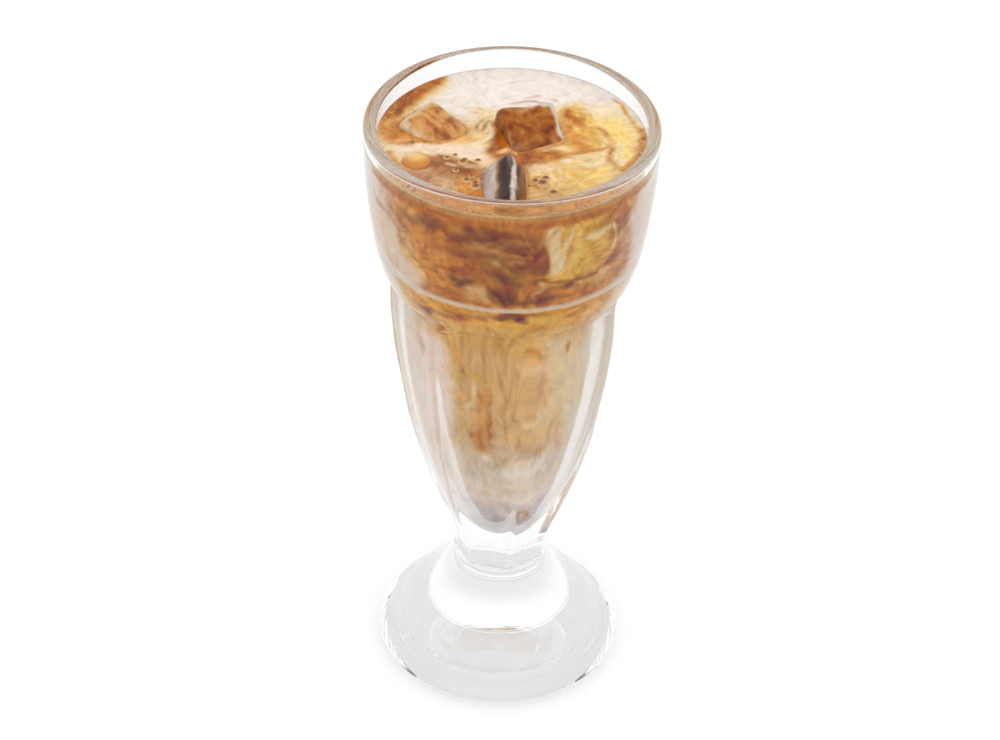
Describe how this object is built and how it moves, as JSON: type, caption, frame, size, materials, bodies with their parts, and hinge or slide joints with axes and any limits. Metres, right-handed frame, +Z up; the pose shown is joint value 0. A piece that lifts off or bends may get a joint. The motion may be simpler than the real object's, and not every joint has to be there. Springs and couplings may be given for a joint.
{
  "type": "iced latte in a footed glass",
  "caption": "Iced coffee with marbled milk and ice in a clear footed soda glass with a smooth collar, flat panels and a domed foot.",
  "frame": {"origin": "middle of the foot, at the height of the table that the glass stands on", "axes": "+Z up along the glass's axis, -Y towards the front as pictured, +X to the right"},
  "size_m": [0.083, 0.083, 0.1875],
  "materials": {
    "glass": "clear pressed glass, smooth and glossy",
    "drink": "coffee marbled with cold milk, wet",
    "ice": "melting ice coated with coffee, wet"
  },
  "bodies": {
    "root": {"glass": "glass", "drink": "drink", "ice_right": "ice", "ice_left": "ice", "ice_front": "ice"}
  },
  "joints": []
}
